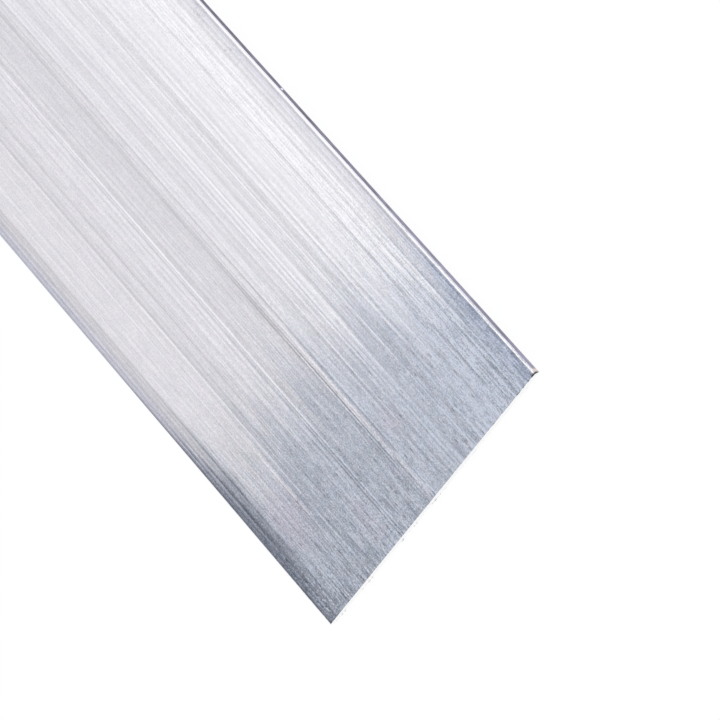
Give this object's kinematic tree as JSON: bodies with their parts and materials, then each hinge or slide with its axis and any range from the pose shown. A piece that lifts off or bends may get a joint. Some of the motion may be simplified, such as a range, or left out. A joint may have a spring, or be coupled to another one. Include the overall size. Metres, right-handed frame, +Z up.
{
  "type": "metal flat bar",
  "caption": "Extruded aluminium flat bar in mill finish, a thin wide strip of stock with rounded long corners and square sawn ends.",
  "frame": {"origin": "middle of the broad bottom face, on the level floor that the bar lies on", "axes": "+X along the bar's length, +Y across its width, +Z up through its thickness"},
  "size_m": [1, 0.08, 0.002],
  "materials": {
    "mill_aluminium": "mill finish as extruded: fine die lines along the length, sawn ends"
  },
  "bodies": {
    "root": {"flat_bar": "mill_aluminium"}
  },
  "joints": []
}
